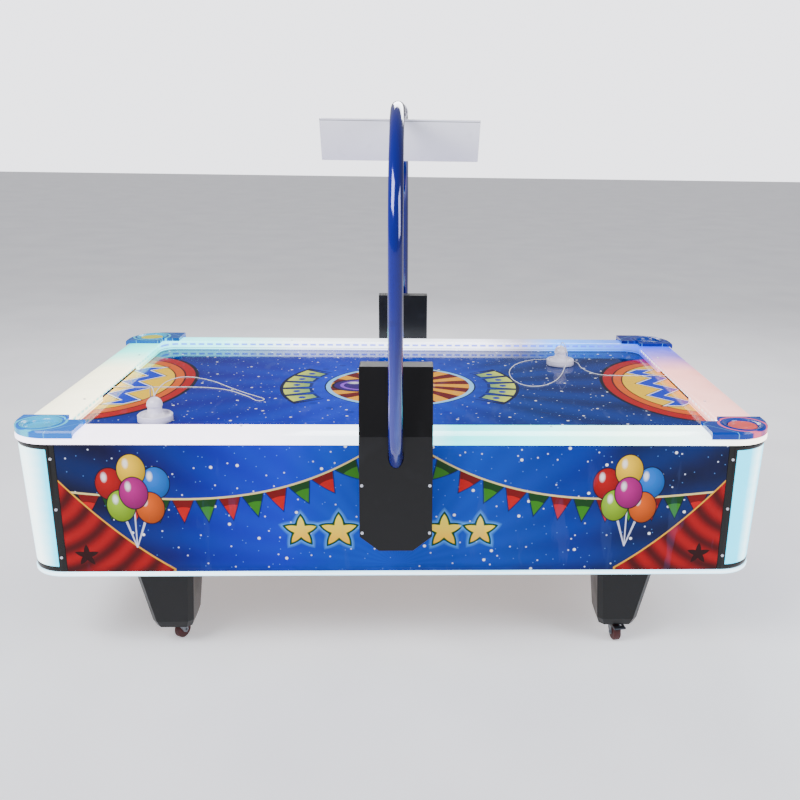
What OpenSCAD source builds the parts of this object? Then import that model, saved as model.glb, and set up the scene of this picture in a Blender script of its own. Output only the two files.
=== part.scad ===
// Air hockey table with a lit rim, tethered mallets and an overhead scoreboard.
// X runs along the table, Y across it, Z up. The origin is on the floor under the middle.

/* [Table] */
// Length over the rails
table_l = 2100; // [1900:10:2400]
// Width over the rails
table_w = 1280; // [1100:10:1400]
// Height of the flat top of the rails
rail_top = 685; // [670:1:720]
// Plan radius of the outer corners of the rails
corner_r = 120; // [100:1:140]
// Width of the long rails
long_rail_w = 110; // [90:1:120]
// Width of the end rails
end_rail_w = 130; // [110:1:150]
// Width of each goal slot
goal_w = 400; // [240:5:400]

/* [Cabinet] */
// Height of the top of the side panels
cabinet_top = 660; // [640:1:665]
// Height of the bottom of the side panels
cabinet_bottom = 280; // [240:1:330]
// How far each side leans in from top to bottom
cabinet_taper = 20; // [0:1:40]
// Thickness of the side panels
panel_t = 15; // [9:1:20]

/* [Arch and scoreboard] */
// Outside diameter of the arch tube
tube_d = 38; // [32:1:45]
// Distance of the upright tube from the middle of the table
arch_y = 780; // [765:1:800]
// Height of the top of the arch
arch_top = 1560; // [1450:5:1700]
// Radius of the two upper bends
arch_bend = 350; // [250:10:400]
// Length of the scoreboard at its top edge
board_l = 490; // [400:5:600]
// Depth of the scoreboard
board_w = 200; // [140:5:260]
// Height of the scoreboard
board_h = 124; // [100:1:150]

/* [Mallets and pucks] */
// Diameter of a mallet
mallet_d = 100; // [90:1:110]
// Height of a mallet
mallet_h = 72; // [60:1:80]
// Diameter of a puck
puck_d = 80; // [60:1:84]
// Diameter of a tether cord
tether_d = 3; // [2:0.5:4]

/* [Legs and casters] */
// Diameter of a caster wheel
wheel_d = 50; // [40:1:52]
// Height of the bottom edge of a leg
leg_bottom = 66; // [64:1:70]

/* [Hidden] */
$fn = 64;

rail_x = table_l / 2 - corner_r;      // centre of the rail corner arcs
rail_y = table_w / 2 - corner_r;
rink_x = table_l / 2 - end_rail_w;    // inner faces of the rails
rink_y = table_w / 2 - long_rail_w;
side_gap = 5;                         // rails stand this far proud of the panels
body_x = rail_x - side_gap;           // centre of the cabinet corner arcs
body_y = rail_y - side_gap;
body_h = cabinet_top - cabinet_bottom;
skirt_t = 12;
playfield_t = 12;
playfield_z = 655;
fit = 0.3;
rim_h = 14;
base_t = 15;
strip_w = 24;                         // width of a corner frame's upright strip
strip_x = 912;                        // inner edge of that strip on the long sides
tail = body_x - strip_x;
window_edge = strip_w - tail;
window_angle = asin(window_edge / corner_r);
frame_band = 16;
frame_proud = 1.5;
cover_t = 12;
cover_arm_x = 190;
cover_arm_y = 155;
cup_d = 112;
cup_x = table_l / 2 - 80;
cup_y = table_w / 2 - 80;
goal_slot_h = 17;
chute_x0 = 936;
chute_x1 = 1021;
chute_floor = 530;
chute_wall = 4;
pocket_w = 220;
pocket_z = 540;
pocket_h = 80;
plenum_x = 850;
plenum_y = 525;
plenum_h = 60;
plenum_z = playfield_z - playfield_t - plenum_h;
air_pitch = 100;
air_hole_d = 3;
blower_r = 120;
blower_z = 400;
blower_h = 80;
motor_h = 96;
shaft_r = 5;
door_w = 400;
door_x = 450;
door_z0 = 330;
door_z1 = 560;
door_t = 12;
hinge_r = 5;
hinge_pin_r = 2;
run_fit = 0.05;
inlet_x = 760;
inlet_z = 340;
switch_dx = 55;
rocker_pin_r = 1.5;
leg_x = 665;
leg_y = 490;
leg_top_w = 170;
leg_foot_w = 110;
leg_wall = 4;
plate_z = 68;
fork_trail = 18;
fork_top = 60;
fork_wall = 3;
wheel_w = 22;
axle_r = 4;
swivel_a = [60, -80, 25, -150];       // heading of each caster: front l, front r, rear l, rear r
box_w = 192;
box_top = 893;
box_bend = 716;
box_foot = 398;
box_face = 740;                       // front face of the box, from the middle
box_brow = 700;
box_wall = 2;
box_drop = 42;                        // the rear box is fixed this much lower
socket_a = atan(3 / 4);               // slope of the tube's foot
foot_r = 100;                         // radius of the lower bends
foot_z = 751;                         // height at which the lower bend starts
foot_run = 160;                       // straight length below the lower bend
socket_z = 585;                       // middle of the front tube's clamp block
tube_r = tube_d / 2;
tube_wall = 2;
arch_axis = arch_top - tube_r;
board_top = arch_axis - tube_r - 5;
board_lean = 7;
hanger_y = 70;
screw_r = 4;
screw_zs = [325, 470, 618];
rail_screw_x = 430;
rail_screw_y = 290;
box_screw_x = 89;
box_screw_zs = [450, 583];
mallet_at = [[-704, -406], [584, 305]];
cord_lift = playfield_z + tether_d / 2 + 0.3;

// Route of each tether, from the mallet to the end rail.
tether_left_route = [
    [-704, -406, 729], [-706, -399, 738], [-713, -384, 746], [-725, -354, 745], [-739, -317, 726],
    [-752, -273, 693], [-764, -221, 667], [-775, -156, cord_lift], [-784, -83, cord_lift],
    [-786, -10, cord_lift], [-778, 43, cord_lift], [-758, 80, cord_lift], [-734, 93, cord_lift],
    [-704, 88, cord_lift], [-665, 65, cord_lift], [-620, 28, cord_lift], [-559, -42, cord_lift],
    [-502, -103, cord_lift], [-448, -154, cord_lift], [-433, -169, cord_lift],
    [-425, -185, cord_lift], [-433, -200, cord_lift], [-450, -194, cord_lift],
    [-472, -162, cord_lift], [-512, -118, cord_lift], [-551, -81, cord_lift],
    [-601, -54, cord_lift], [-660, -41, cord_lift], [-729, -39, cord_lift], [-808, -41, cord_lift],
    [-867, -42, cord_lift], [-911, -42, cord_lift], [-946, -42, 656], [-970, -42, 652], [-1000.7, -42, 652]
];
tether_right_route = [
    [584, 305, 729], [585, 298, 738], [589, 283, 742], [595, 262, 732], [598, 240, 711],
    [593, 220, 684], [580, 188, 665], [562, 138, cord_lift], [533, 65, cord_lift],
    [494, 10, cord_lift], [456, -12, cord_lift], [420, 0, cord_lift], [395, 45, cord_lift],
    [383, 104, cord_lift], [383, 168, cord_lift], [393, 227, cord_lift], [417, 291, cord_lift],
    [454, 342, cord_lift], [498, 370, cord_lift], [553, 380, cord_lift], [607, 374, cord_lift],
    [643, 348, cord_lift], [653, 311, cord_lift], [653, 267, cord_lift], [663, 212, cord_lift],
    [686, 166, cord_lift], [720, 143, cord_lift], [779, 139, cord_lift], [838, 139, cord_lift],
    [912, 139, cord_lift], [947, 139, 656], [972, 139, 652], [1000.7, 139, 652]
];

// ---- outlines and sweeps shared by the sub-parts ----

// Radius of the cabinet's corner cone at height z.
function body_r(z) = corner_r - cabinet_taper * (cabinet_top - z) / body_h;

// Section of a leaning wall between two heights, given by its offsets from the cabinet's surface.
function wall_section(z0, z1, outer, inner) = [
    [body_r(z0) + inner, z0], [body_r(z0) + outer, z0],
    [body_r(z1) + outer, z1], [body_r(z1) + inner, z1]
];

// Curved edge of a rail, from its flat top down to its side face.
rail_dome_w = 62;
rail_side_h = 11;
function rail_dome(grow, n) = [
    for (i = [0 : n])
        let (a = 90 * i / n)
        [corner_r - rail_dome_w + (rail_dome_w + grow) * sin(a),
         cabinet_top + rail_side_h + (rail_top - cabinet_top - rail_side_h) * cos(a) + grow]
];

// Section of a rail whose inner face is at radius r0 from the corner's centre.
function rail_section(r0) = concat(
    [[r0, playfield_z + fit], [r0, rail_top - 5], [r0 + 2, rail_top - 1.5], [r0 + 6, rail_top]],
    rail_dome(0, 8),
    [[corner_r, cabinet_top], [r0 + skirt_t, cabinet_top], [r0 + skirt_t, playfield_z + fit]]
);
function rail_cavity(r0) = concat(
    [[r0 + skirt_t, cabinet_top - 1], [r0 + skirt_t, rail_top - 6]],
    rail_dome(-6, 8),
    [[corner_r - 6, cabinet_top - 1]]
);
function corner_section() = concat([[0, rail_top]], rail_dome(0, 8), [[corner_r, cabinet_top], [0, cabinet_top]]);
function corner_cavity() = concat(
    [[0, rail_top - 6]], rail_dome(-6, 8), [[corner_r - 6, cabinet_top - 1], [0, cabinet_top - 1]]
);

// Section of a corner cover, which laps over the curved edge of the rail.
function cover_section(r0) = [
    [r0, rail_top + 0.2], [corner_r - 24, rail_top + 0.2], [corner_r - 12, rail_top - 1],
    [corner_r - 4.5, rail_top - 4], [corner_r - 2.5, rail_top - 8], [corner_r - 0.5, rail_top - 8],
    [corner_r - 0.5, rail_top + cover_t - 5], [corner_r - 4.5, rail_top + cover_t],
    [r0, rail_top + cover_t]
];

// Runs a section along -Y from the start of a corner arc, on the +X side.
module run_y(x, y, len) {
    translate([x, y, 0])
        rotate([90, 0, 0])
            linear_extrude(len)
                children();
}

// Runs a section along -X from the end of a corner arc, on the +Y side.
module run_x(x, y, len) {
    translate([x - len, y, 0])
        rotate([90, 0, 90])
            linear_extrude(len)
                children();
}

// Sweeps a section round a corner whose arc is centred on x, y.
module sweep_corner(x, y, a0, a1) {
    translate([x, y, 0])
        rotate([0, 0, a0])
            rotate_extrude(angle = a1 - a0)
                children();
}

module each_corner() {
    for (mx = [0, 1], my = [0, 1])
        mirror([mx, 0, 0])
            mirror([0, my, 0])
                children();
}

module both_ends() {
    for (mx = [0, 1])
        mirror([mx, 0, 0])
            children();
}

// Rounded rectangle centred on the origin.
module plan(x, y, r) {
    square([2 * x, 2 * (y - r)], center = true);
    square([2 * (x - r), 2 * y], center = true);
    for (sx = [-1, 1], sy = [-1, 1])
        translate([sx * (x - r), sy * (y - r)])
            circle(r);
}

// ---- cabinet ----

module base_board() {
    inset = body_r(cabinet_bottom) - panel_t - fit;
    color("tan")
        translate([0, 0, cabinet_bottom])
            linear_extrude(base_t)
                plan(body_x + inset, body_y + inset, inset);
}

module top_frame() {
    inset = body_r(cabinet_top - 18) - panel_t - fit;
    color("burlywood")
        translate([0, 0, cabinet_top - 18])
            linear_extrude(18)
                difference() {
                    plan(body_x + inset, body_y + inset, inset);
                    square([2 * (rink_x + skirt_t + fit), 2 * (rink_y + skirt_t + fit)], center = true);
                    square([2 * (chute_x1 - 20), goal_w], center = true);
                }
}

module corner_posts() {
    post = 60;
    base = cabinet_bottom + base_t;
    color("peru")
        each_corner()
            difference() {
                translate([body_x - 70, body_y - 70, base])
                    cube([post, post, playfield_z - playfield_t - base]);
                translate([body_x, body_y, 0])
                    rotate([0, 0, 45])
                        translate([-24, -15, base])
                            cube([30, 30, cabinet_top - base]);
            }
}

module long_panel() {
    run_x(strip_x - fit, body_y, 2 * (strip_x - fit))
        polygon(wall_section(cabinet_bottom, cabinet_top, 0, -panel_t));
}

module front_panel() {
    color("royalblue")
        mirror([0, 1, 0])
            long_panel();
}

module rear_panel() {
    y_face = body_y + body_r(door_z0);
    color("royalblue")
        difference() {
            long_panel();
            translate([door_x - door_w / 2 - 1, y_face - 60, door_z0 - 1])
                cube([door_w + 2, 120, door_z1 - door_z0 + 2]);
            translate([inlet_x - 25, y_face - 60, inlet_z - 18])
                cube([50, 120, 36]);
            translate([inlet_x + switch_dx - 11, y_face - 60, inlet_z - 14])
                cube([22, 120, 28]);
        }
}

module end_panel() {
    len = 2 * (body_y - tail - fit);
    color("mediumblue")
        difference() {
            run_y(body_x, body_y - tail - fit, len)
                polygon(wall_section(cabinet_bottom, cabinet_top, 0, -panel_t));
            translate([body_x, -pocket_w / 2, pocket_z])
                cube([200, pocket_w, pocket_h]);
        }
}

module left_end_panel() {
    mirror([1, 0, 0])
        end_panel();
}

module right_end_panel() {
    end_panel();
}

module corner_frame() {
    color("black")
        difference() {
            union() {
                sweep_corner(body_x, body_y, 0, 90)
                    polygon(wall_section(cabinet_bottom, cabinet_top, frame_proud, -10));
                run_y(body_x, body_y, tail)
                    polygon(wall_section(cabinet_bottom, cabinet_top, frame_proud, -10));
                run_x(body_x, body_y, tail)
                    polygon(wall_section(cabinet_bottom, cabinet_top, frame_proud, -10));
            }
            sweep_corner(body_x, body_y, window_angle, 90 - window_angle)
                polygon(wall_section(cabinet_bottom + frame_band, cabinet_top - frame_band, 6, -20));
        }
}

module corner_frames() {
    each_corner()
        corner_frame();
}

module corner_lights() {
    gap = 0.2;
    z0 = cabinet_bottom + frame_band + gap;
    z1 = cabinet_top - frame_band - gap;
    color("paleturquoise")
        each_corner()
            sweep_corner(body_x, body_y, window_angle + gap, 90 - window_angle - gap)
                polygon(wall_section(z0, z1, 1, -4));
}

module bottom_rim() {
    r1 = body_r(cabinet_bottom);
    z0 = cabinet_bottom - rim_h;
    section = [
        [r1 - 16, z0], [r1 + 1, z0], [r1 + 4, z0 + 3], [r1 + 4, z0 + rim_h - 2],
        [r1 + 2, z0 + rim_h], [r1 - 16, z0 + rim_h]
    ];
    color("lightcyan")
        each_corner() {
            sweep_corner(body_x, body_y, 0, 90)
                polygon(section);
            run_y(body_x, body_y, body_y)
                polygon(section);
            run_x(body_x, body_y, body_x)
                polygon(section);
        }
}

module led_strips() {
    h = 3;
    color("white") {
        for (my = [0, 1])
            mirror([0, my, 0])
                translate([-880, table_w / 2 - 60, cabinet_top])
                    cube([1760, 12, h]);
        both_ends()
            translate([table_l / 2 - 44, -470, cabinet_top])
                cube([12, 940, h]);
        each_corner()
            translate([body_x, body_y, 0])
                rotate([0, 0, 45])
                    translate([-23.8, -10, cabinet_bottom + 40])
                        cube([h, 20, 300]);
    }
}

// ---- rails and corner covers ----

module rink_fillet() {
    r = 60;
    translate([rink_x - r, rink_y - r, playfield_z + fit])
        difference() {
            cube([r, r, rail_top - playfield_z - fit]);
            translate([0, 0, -1])
                cylinder(r = r, h = 100);
        }
    translate([rink_x, rail_y, cabinet_top])
        cube([rail_x - rink_x, rink_y - rail_y, rail_top - cabinet_top]);
}

module long_rail() {
    difference() {
        union() {
            run_x(rail_x, rail_y, 2 * rail_x)
                polygon(rail_section(rink_y - rail_y));
            both_ends()
                sweep_corner(rail_x, rail_y, 0, 90)
                    polygon(corner_section());
        }
        run_x(rail_x - 4, rail_y, 2 * rail_x - 8)
            polygon(rail_cavity(rink_y - rail_y));
        both_ends()
            sweep_corner(rail_x, rail_y, 0, 90)
                polygon(corner_cavity());
    }
    both_ends()
        rink_fillet();
}

module front_rail() {
    color("white")
        mirror([0, 1, 0])
            long_rail();
}

module rear_rail() {
    color("aquamarine")
        long_rail();
}

module end_rail() {
    len = 2 * (rail_y - fit);
    difference() {
        run_y(rail_x, rail_y - fit, len)
            polygon(rail_section(rink_x - rail_x));
        run_y(rail_x, rail_y - fit - 4, len - 8)
            polygon(rail_cavity(rink_x - rail_x));
        translate([rink_x - 10, -goal_w / 2, playfield_z - 1])
            cube([skirt_t + 11, goal_w, goal_slot_h + 1]);
    }
}

module left_rail() {
    color("lightyellow")
        mirror([1, 0, 0])
            end_rail();
}

module right_rail() {
    color("pink")
        end_rail();
}

module corner_cover() {
    color("dodgerblue")
        difference() {
            union() {
                sweep_corner(rail_x, rail_y, 0, 90)
                    polygon(cover_section(0));
                run_x(rail_x, rail_y, cover_arm_x - corner_r)
                    polygon(cover_section(rink_y - rail_y));
                run_y(rail_x, rail_y, cover_arm_y - corner_r)
                    polygon(cover_section(rink_x - rail_x));
            }
            translate([cup_x, cup_y, rail_top - 20])
                cylinder(d = cup_d, h = 60);
        }
}

module corner_cover_front_left() {
    mirror([1, 0, 0])
        mirror([0, 1, 0])
            corner_cover();
}

module corner_cover_front_right() {
    mirror([0, 1, 0])
        corner_cover();
}

module corner_cover_rear_left() {
    mirror([1, 0, 0])
        corner_cover();
}

module corner_cover_rear_right() {
    corner_cover();
}

// Shallow dished cup that fills the hole of a corner cover.
module corner_cup() {
    r = cup_d / 2 - 0.2;
    base = rail_top + 0.2;
    translate([cup_x, cup_y, base])
        rotate_extrude()
            polygon(concat(
                [[0, 0], [r, 0], [r, cover_t + 1.5], [r - 3, cover_t + 1.5]],
                [for (i = [0 : 6]) let (a = 15 * i) [(r - 5) - 8 * sin(a), 3 + 9 * cos(a)]],
                [[0, 3]]
            ));
}

module corner_cups() {
    color("cyan")
        each_corner()
            corner_cup();
}

// ---- playing surface and air supply ----

module playfield() {
    nx = 8;
    ny = 4;
    edge = 0.5;
    color("navy")
        difference() {
            translate([-rink_x - skirt_t + edge, -rink_y - skirt_t + edge, playfield_z - playfield_t])
                cube([2 * (rink_x + skirt_t - edge), 2 * (rink_y + skirt_t - edge), playfield_t]);
            for (i = [-nx : nx], j = [-ny : ny])
                translate([i * air_pitch, j * air_pitch, playfield_z - playfield_t - 1])
                    cylinder(d = air_hole_d, h = playfield_t + 2, $fn = 16);
        }
}

module air_plenum() {
    wall = 12;
    color("wheat")
        translate([0, 0, plenum_z])
            difference() {
                translate([-plenum_x, -plenum_y, 0])
                    cube([2 * plenum_x, 2 * plenum_y, plenum_h]);
                translate([-plenum_x + wall, -plenum_y + wall, wall])
                    cube([2 * (plenum_x - wall), 2 * (plenum_y - wall), plenum_h]);
                translate([0, 0, -1])
                    cylinder(r = 60, h = wall + 2);
            }
}

module blower_housing() {
    wall = 4;
    neck_r = 58;
    neck_h = plenum_z + 8 - blower_z;
    color("silver")
        translate([0, 0, blower_z]) {
            difference() {
                union() {
                    cylinder(r = blower_r, h = blower_h);
                    cylinder(r = neck_r, h = neck_h);
                }
                translate([0, 0, wall])
                    cylinder(r = blower_r - wall, h = blower_h - 2 * wall);
                translate([0, 0, -1])
                    cylinder(r = 30, h = wall + 2);
                translate([0, 0, blower_h / 2])
                    cylinder(r = neck_r - wall, h = neck_h);
            }
            for (a = [45 : 90 : 315])
                rotate([0, 0, a])
                    translate([blower_r - 2, -12, cabinet_bottom + base_t - blower_z])
                        cube([16, 24, blower_z + 20 - cabinet_bottom - base_t]);
        }
}

module blower_motor() {
    base = cabinet_bottom + base_t;
    color("dimgray")
        translate([0, 0, base])
            difference() {
                union() {
                    cylinder(r = 46, h = motor_h);
                    cylinder(r = 62, h = 6);
                    cylinder(r = 22, h = blower_z - base + 8);
                }
                translate([0, 0, motor_h - 60])
                    cylinder(r = shaft_r + run_fit, h = 200);
            }
}

module blower_impeller() {
    base = blower_z + 14;
    vanes = 10;
    color("lightgray")
        translate([0, 0, base]) {
            difference() {
                cylinder(r = 100, h = 3);
                translate([0, 0, -1])
                    cylinder(r = shaft_r - 1, h = 5);
            }
            for (i = [0 : vanes - 1])
                rotate([0, 0, 360 * i / vanes])
                    translate([52, -1, 2])
                        rotate([0, 0, 25])
                            cube([46, 2, 48]);
            translate([0, 0, -55])
                cylinder(r = shaft_r, h = 70);
        }
}

// ---- goals ----

module goal_chute() {
    w = goal_w + 8;
    h = plenum_z + plenum_h - chute_floor - 2;
    color("dimgray")
        difference() {
            translate([chute_x0, -w / 2, chute_floor])
                cube([chute_x1 - chute_x0, w, h]);
            translate([chute_x0 + chute_wall, -w / 2 + chute_wall, chute_floor + chute_wall])
                cube([100, w - 2 * chute_wall, h]);
        }
}

// Light-beam sensor blocks on the two sides of a chute.
module goal_sensor_pair() {
    for (my = [0, 1])
        mirror([0, my, 0])
            translate([chute_x0 + 30, goal_w / 2 + 4.2, chute_floor + 60])
                cube([18, 14, 12]);
}

module goal_chutes() {
    color("dimgray")
        both_ends() {
            goal_chute();
            goal_sensor_pair();
        }
}

// ---- electrics and service door ----

module control_box() {
    color("slategray")
        translate([-400, 250, cabinet_bottom + base_t])
            difference() {
                cube([220, 150, 60]);
                translate([3, 3, 3])
                    cube([214, 144, 54]);
                for (x = [30 : 20 : 190])
                    translate([x, -1, 25])
                        cube([8, 6, 20]);
            }
}

module power_supply() {
    color("silver")
        translate([420, 380, cabinet_bottom + base_t])
            difference() {
                cube([160, 100, 45]);
                for (x = [20 : 15 : 140])
                    translate([x, 20, 42])
                        cube([6, 60, 5]);
            }
}

module on_rear_face(x, z) {
    lean = atan(cabinet_taper / body_h);
    translate([x, body_y + body_r(z), z])
        rotate([-lean, 0, 0])
            children();
}

// Mains inlet and the frame of the switch beside it.
module power_inlet() {
    color("black")
        on_rear_face(inlet_x, inlet_z) {
            difference() {
                union() {
                    translate([-28, 0.1, -20])
                        cube([56, 2.5, 40]);
                    translate([-24, -30, -16])
                        cube([48, 32, 32]);
                }
                translate([-12, -20, -8])
                    cube([24, 30, 16]);
            }
            translate([switch_dx, 0, 0])
                difference() {
                    union() {
                        translate([-14, 0.1, -17])
                            cube([28, 2.5, 34]);
                        translate([-10, -20, -12.5])
                            cube([20, 22, 25]);
                    }
                    translate([-8.4, -18, -11])
                        cube([16.8, 30, 22]);
                    rocker_pivot(rocker_pin_r + run_fit, 24);
                }
        }
}

// Pivot of the rocker, a little behind the face of the panel.
module rocker_pivot(r, len) {
    translate([-len / 2, -2, 0])
        rotate([0, 90, 0])
            cylinder(r = r, h = len);
}

module power_switch() {
    color("crimson")
        on_rear_face(inlet_x + switch_dx, inlet_z) {
            rocker_pivot(rocker_pin_r, 19);
            difference() {
                intersection() {
                    translate([-8, -9, -9.6])
                        cube([16, 14, 19.2]);
                    translate([0, -14, 0])
                        rotate([0, 90, 0])
                            cylinder(r = 19, h = 40, center = true);
                }
                translate([0, 24, 0])
                    rotate([0, 90, 0])
                        cylinder(r = 21, h = 40, center = true);
            }
        }
}

module service_door() {
    y0 = body_y + body_r(door_z1);
    color("black")
        difference() {
            union() {
                run_x(door_x + door_w / 2, body_y, door_w)
                    polygon(wall_section(door_z0, door_z1 - 8, 0, -door_t));
                for (x = [-120, 0, 120])
                    hinge_knuckle(door_x + x, 58);
                for (x = [-120, 0, 120])
                    translate([door_x + x - 29, y0 - 4, door_z1 - 14])
                        cube([58, 4 + hinge_r, 12]);
            }
            hinge_bore();
            on_rear_face(door_x, door_z0 + 30)
                translate([-30, -6, -8])
                    cube([60, 8, 16]);
        }
}

function hinge_y() = body_y + body_r(door_z1) + hinge_r + 1;
function hinge_z() = door_z1 - 2;

module hinge_knuckle(x, w) {
    translate([x - w / 2, hinge_y(), hinge_z()])
        rotate([0, 90, 0])
            cylinder(r = hinge_r, h = w);
}

module hinge_bore() {
    translate([door_x - door_w, hinge_y(), hinge_z()])
        rotate([0, 90, 0])
            cylinder(r = hinge_pin_r + run_fit, h = 2 * door_w);
}

module door_hinge() {
    color("silver") {
        difference() {
            union() {
                for (x = [-60, 60])
                    hinge_knuckle(door_x + x, 60);
                for (x = [-60, 60])
                    translate([door_x + x - 30, hinge_y() - hinge_r + 0.6, hinge_z()])
                        cube([60, 3, 30]);
            }
            hinge_bore();
        }
        translate([door_x - 150, hinge_y(), hinge_z()])
            rotate([0, 90, 0])
                cylinder(r = hinge_pin_r, h = 300);
    }
}

// ---- legs and casters ----

module leg_shape(grow) {
    chamfer = 14;
    module ring(cx, w, z, h) {
        translate([cx, 0, z])
            linear_extrude(h)
                intersection() {
                    square(w + 2 * grow, center = true);
                    rotate(45)
                        square((w + 2 * grow) * sqrt(2) - chamfer * 1.4, center = true);
                }
    }
    hull() {
        ring(0, leg_top_w, cabinet_bottom - 1, 1);
        ring(-12, leg_foot_w + 8, leg_bottom + 22, 1);
    }
    hull() {
        ring(-12, leg_foot_w + 8, leg_bottom + 22, 1);
        ring(-13, leg_foot_w - 8, leg_bottom, 1);
    }
}

module leg() {
    ledge = plate_z + 3;
    translate([leg_x, leg_y, 0])
        difference() {
            leg_shape(0);
            difference() {
                translate([0, 0, -0.5])
                    leg_shape(-leg_wall);
                for (z = [ledge, cabinet_bottom - 5])
                    translate([-100, -100, z])
                        cube([200, 200, 5]);
            }
        }
}

module leg_front_left() {
    color("black")
        mirror([1, 0, 0])
            mirror([0, 1, 0])
                leg();
}

module leg_front_right() {
    color("black")
        mirror([0, 1, 0])
            leg();
}

module leg_rear_left() {
    color("black")
        mirror([1, 0, 0])
            leg();
}

module leg_rear_right() {
    color("black")
        leg();
}

// Places a caster's pieces at one of the four legs, turned to its heading.
module at_caster(i) {
    sx = (i % 2 == 0) ? -1 : 1;
    sy = (i < 2) ? -1 : 1;
    translate([sx * (leg_x - 12), sy * leg_y, 0])
        rotate([0, 0, swivel_a[i]])
            children();
}

module caster_plates() {
    color("silver")
        for (i = [0 : 3])
            at_caster(i) {
                translate([-31, -31, plate_z])
                    cube([62, 62, 3]);
                translate([0, 0, fork_top + 0.3])
                    cylinder(r = 21, h = plate_z - fork_top - 0.3);
                translate([0, 0, fork_top - 8])
                    cylinder(r = 5, h = 12);
            }
}

module caster_fork(i) {
    half = wheel_w / 2 + 1.5;
    axle_z = wheel_d / 2;
    color("gray")
        at_caster(i)
            difference() {
                union() {
                    translate([0, 0, fork_top - fork_wall])
                        cylinder(r = 22, h = fork_wall);
                    for (s = [0, 1])
                        mirror([0, s, 0])
                            translate([0, half, 0])
                                rotate([90, 0, 0])
                                    mirror([0, 0, 1])
                                        linear_extrude(fork_wall)
                                            polygon([
                                                [-16, fork_top], [17, fork_top],
                                                [fork_trail + 9, axle_z - 2],
                                                [fork_trail, axle_z - 9],
                                                [fork_trail - 9, axle_z - 3]
                                            ]);
                    translate([fork_trail, half + fork_wall + 3, axle_z])
                        rotate([90, 0, 0])
                            cylinder(r = axle_r, h = 2 * (half + fork_wall + 3));
                    translate([fork_trail - 2, half + fork_wall + 2.6, wheel_d + 3.5])
                        rotate([90, 0, 0])
                            cylinder(r = 1.5, h = 2 * (half + fork_wall + 2.6));
                }
                translate([0, 0, fork_top - 10])
                    cylinder(r = 5 + run_fit, h = 12);
            }
}

module caster_wheel(i) {
    tyre = 3;
    color("darkred")
        at_caster(i)
            translate([fork_trail, 0, wheel_d / 2])
                rotate([90, 0, 0])
                    rotate_extrude()
                        polygon([
                            [axle_r + run_fit, -wheel_w / 2], [wheel_d / 2 - tyre, -wheel_w / 2],
                            [wheel_d / 2, -wheel_w / 2 + tyre], [wheel_d / 2, wheel_w / 2 - tyre],
                            [wheel_d / 2 - tyre, wheel_w / 2], [axle_r + run_fit, wheel_w / 2]
                        ]);
}

module brake_lever(i) {
    half = wheel_w / 2 + 1.5 + fork_wall + 0.3;
    pivot_x = fork_trail - 2;
    pivot_z = wheel_d + 3.5;
    color("gray")
        at_caster(i)
            difference() {
                union() {
                    for (s = [0, 1])
                        mirror([0, s, 0])
                            translate([0, half, 0])
                                rotate([90, 0, 0])
                                    mirror([0, 0, 1])
                                        linear_extrude(2)
                                            polygon([
                                                [pivot_x - 5, pivot_z - 5], [pivot_x + 6, pivot_z - 6],
                                                [pivot_x + 28, pivot_z - 2], [pivot_x + 28, pivot_z + 4],
                                                [pivot_x - 5, pivot_z + 2]
                                            ]);
                    translate([pivot_x + 26, -half - 2, pivot_z - 2])
                        cube([16, 2 * half + 4, 5]);
                }
                translate([pivot_x, 60, pivot_z])
                    rotate([90, 0, 0])
                        cylinder(r = 1.5 + run_fit, h = 120);
            }
}

module caster_fork_front_left() { caster_fork(0); }
module caster_fork_front_right() { caster_fork(1); }
module caster_fork_rear_left() { caster_fork(2); }
module caster_fork_rear_right() { caster_fork(3); }
module wheel_front_left() { caster_wheel(0); }
module wheel_front_right() { caster_wheel(1); }
module wheel_rear_left() { caster_wheel(2); }
module wheel_rear_right() { caster_wheel(3); }
module brake_front_left() { brake_lever(0); }
module brake_front_right() { brake_lever(1); }

// ---- arch, mount boxes and scoreboard ----

// Follows the tube from its foot to the top of the arch, on the +Y side, with extra length below.
module half_tube(r, extra) {
    bend_y = arch_y - foot_r;
    top_y = arch_y - arch_bend;
    foot_y = bend_y + foot_r * cos(socket_a);
    foot_start = foot_z - extra;
    translate([0, top_y, arch_axis])
        rotate([90, 0, 0])
            cylinder(r = r, h = top_y + 0.01);
    translate([0, top_y, arch_axis - arch_bend])
        rotate([90, 0, 90])
            rotate_extrude(angle = 90)
                translate([arch_bend, 0])
                    circle(r);
    translate([0, arch_y, foot_start])
        cylinder(r = r, h = arch_axis - arch_bend - foot_start);
    translate([0, bend_y, foot_start])
        rotate([90, 0, 90])
            rotate([0, 0, -socket_a])
                rotate_extrude(angle = socket_a)
                    translate([foot_r, 0])
                        circle(r);
    translate([0, foot_y, foot_start - foot_r * sin(socket_a)])
        rotate([180 - socket_a, 0, 0])
            cylinder(r = r, h = foot_run + (r < tube_r ? 1 : 0));
}

module arch_tube() {
    color("mediumblue")
        difference() {
            union() {
                half_tube(tube_r, box_drop);
                mirror([0, 1, 0])
                    half_tube(tube_r, 0);
            }
            half_tube(tube_r - tube_wall, box_drop);
            mirror([0, 1, 0])
                half_tube(tube_r - tube_wall, 0);
        }
}

// Side view of a mount box, as [distance from the middle, height], drawn in by t.
// A box that is fixed lower by drop still follows the lean of the cabinet.
function box_side(t, drop) = [
    [body_y + body_r(box_foot - drop) + fit + t, box_foot - drop + t],
    [box_face - t, box_foot - drop + t],
    [box_face - t, box_bend - drop - 0.1 * t],
    [box_brow - t, box_top - drop - t],
    [table_w / 2 + 2 + t, box_top - drop - t],
    [table_w / 2 + 2 + t, cabinet_top - 6 - t],
    [body_y + body_r(cabinet_top - 6) + fit + t, cabinet_top - 6 - t]
];

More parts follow.
